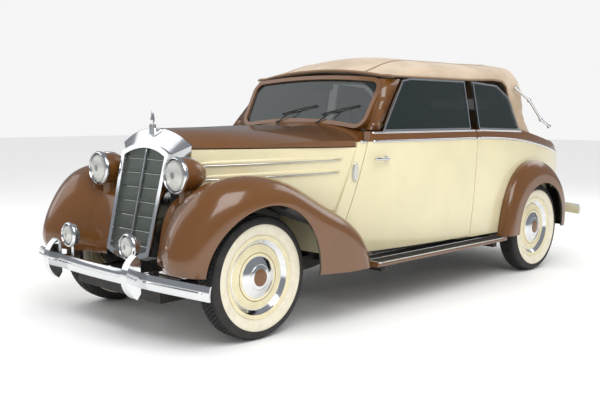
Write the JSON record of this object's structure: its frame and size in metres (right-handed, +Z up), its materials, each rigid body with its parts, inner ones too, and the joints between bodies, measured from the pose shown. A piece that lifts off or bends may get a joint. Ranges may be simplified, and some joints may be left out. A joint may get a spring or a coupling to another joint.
{
  "type": "1950s convertible car",
  "caption": "Two-door convertible car with an upright radiator shell, separate wings, a fabric top with landau bars, opening doors, hood and boot, steering and rolling wheels.",
  "frame": {"origin": "on the ground under the middle of the overall box", "axes": "+X to the car's left side, front towards -Y, +Z up"},
  "size_m": [1.6862, 4.4552, 1.6067],
  "materials": {
    "paint_brown": "gloss",
    "paint_cream": "gloss",
    "chrome": "polished",
    "mesh_metal": "satin",
    "frame_black": "satin",
    "engine_iron": "rough",
    "steel": "satin",
    "tyre": "matte",
    "canvas": "woven",
    "leather": "satin",
    "glass": "clear",
    "lens": "clear",
    "wood": "polished",
    "ivory": "gloss"
  },
  "bodies": {
    "chassis": {"cowl": "paint_cream", "quarter_windows": "chrome", "rear_body": "paint_cream", "hood_sides": "paint_cream", "front_fenders": "paint_brown", "nose_apron": "paint_brown", "rear_fenders": "paint_brown", "radiator_shell": "chrome", "grille": "mesh_metal", "headlamp_shells": "paint_brown", "lamp_rims": "chrome", "lamp_lenses": "lens", "front_bumper": "chrome", "rear_bumper": "chrome", "running_boards": "frame_black", "windscreen_glass": "glass", "windscreen_frame": "paint_brown", "soft_top": "canvas", "rear_glass": "glass", "landau_bars": "chrome", "frame": "frame_black", "floor_pan": "frame_black", "engine": "engine_iron", "exhaust": "steel", "fuel_tank": "frame_black", "seats": "leather", "steering_column": "frame_black", "dashboard": "wood", "front_suspension": "frame_black", "rear_axle": "frame_black", "signal_lamps": "lens"},
    "door_left": {"door_left": "paint_cream", "door_left_glass": "glass", "door_left_frame": "chrome"},
    "door_right": {"door_right": "paint_cream", "door_right_glass": "glass", "door_right_frame": "chrome"},
    "hood_left": {"hood_left": "paint_brown"},
    "hood_right": {"hood_right": "paint_brown"},
    "boot_lid": {"boot_lid": "paint_brown"},
    "steering_wheel": {"steering_wheel": "ivory"},
    "knuckle_left": {"knuckle_left": "steel"},
    "knuckle_right": {"knuckle_right": "steel"},
    "track_rod": {"track_rod": "steel"},
    "wheel_front_left": {"wheel_front_left": "paint_cream", "tyre_front_left": "tyre"},
    "wheel_front_right": {"wheel_front_right": "paint_cream", "tyre_front_right": "tyre"},
    "wheel_rear_left": {"wheel_rear_left": "paint_cream", "tyre_rear_left": "tyre"},
    "wheel_rear_right": {"wheel_rear_right": "paint_cream", "tyre_rear_right": "tyre"}
  },
  "joints": [
    {"name": "door_left_hinge", "type": "hinge", "parent": "chassis", "child": "door_left", "pos_m": [0.7553, 0.4509, 0.7], "axis": [0, 0, 1], "range_deg": [0, 65]},
    {"name": "door_right_hinge", "type": "hinge", "parent": "chassis", "child": "door_right", "pos_m": [-0.7553, 0.4509, 0.7], "axis": [0, 0, -1], "range_deg": [0, 65]},
    {"name": "hood_left_hinge", "type": "hinge", "parent": "chassis", "child": "hood_left", "pos_m": [0.015, -1.2, 1.134], "axis": [0, -1, 0], "range_deg": [0, 70]},
    {"name": "hood_right_hinge", "type": "hinge", "parent": "chassis", "child": "hood_right", "pos_m": [-0.015, -1.2, 1.134], "axis": [0, 1, 0], "range_deg": [0, 70]},
    {"name": "boot_lid_hinge", "type": "hinge", "parent": "chassis", "child": "boot_lid", "pos_m": [0, 1.77, 0.99], "axis": [1, 0, 0], "range_deg": [0, 60]},
    {"name": "steering", "type": "hinge", "parent": "chassis", "child": "steering_wheel", "pos_m": [0.345, -0.3357, 1.078], "axis": [0, 0.848, 0.5299], "range_deg": [-450, 450]},
    {"name": "knuckle_left_kingpin", "type": "hinge", "parent": "chassis", "child": "knuckle_left", "pos_m": [0.56, -1.5875, 0.338], "axis": [0, 0, 1], "range_deg": [-30.1, 30.1]},
    {"name": "knuckle_right_kingpin", "type": "hinge", "parent": "chassis", "child": "knuckle_right", "pos_m": [-0.56, -1.5875, 0.338], "axis": [0, 0, 1], "range_deg": [-30.1, 30.1]},
    {"name": "track_rod_slide", "type": "slide", "parent": "chassis", "child": "track_rod", "axis": [1, 0, 0], "range_m": [-0.08, 0.08]},
    {"name": "wheel_front_left_spin", "type": "hinge", "parent": "knuckle_left", "child": "wheel_front_left", "pos_m": [0.6575, -1.5875, 0.338], "axis": [1, 0, 0], "continuous": true},
    {"name": "wheel_front_right_spin", "type": "hinge", "parent": "knuckle_right", "child": "wheel_front_right", "pos_m": [-0.6575, -1.5875, 0.338], "axis": [1, 0, 0], "continuous": true},
    {"name": "wheel_rear_left_spin", "type": "hinge", "parent": "chassis", "child": "wheel_rear_left", "pos_m": [0.71, 1.2575, 0.338], "axis": [1, 0, 0], "continuous": true},
    {"name": "wheel_rear_right_spin", "type": "hinge", "parent": "chassis", "child": "wheel_rear_right", "pos_m": [-0.71, 1.2575, 0.338], "axis": [1, 0, 0], "continuous": true}
  ],
  "couplings": [
    {"joint": "knuckle_left_kingpin", "follows": "steering", "ratio": 0.0667},
    {"joint": "knuckle_right_kingpin", "follows": "steering", "ratio": 0.0667},
    {"joint": "track_rod_slide", "follows": "steering", "m_per_rad": -0.01}
  ]
}
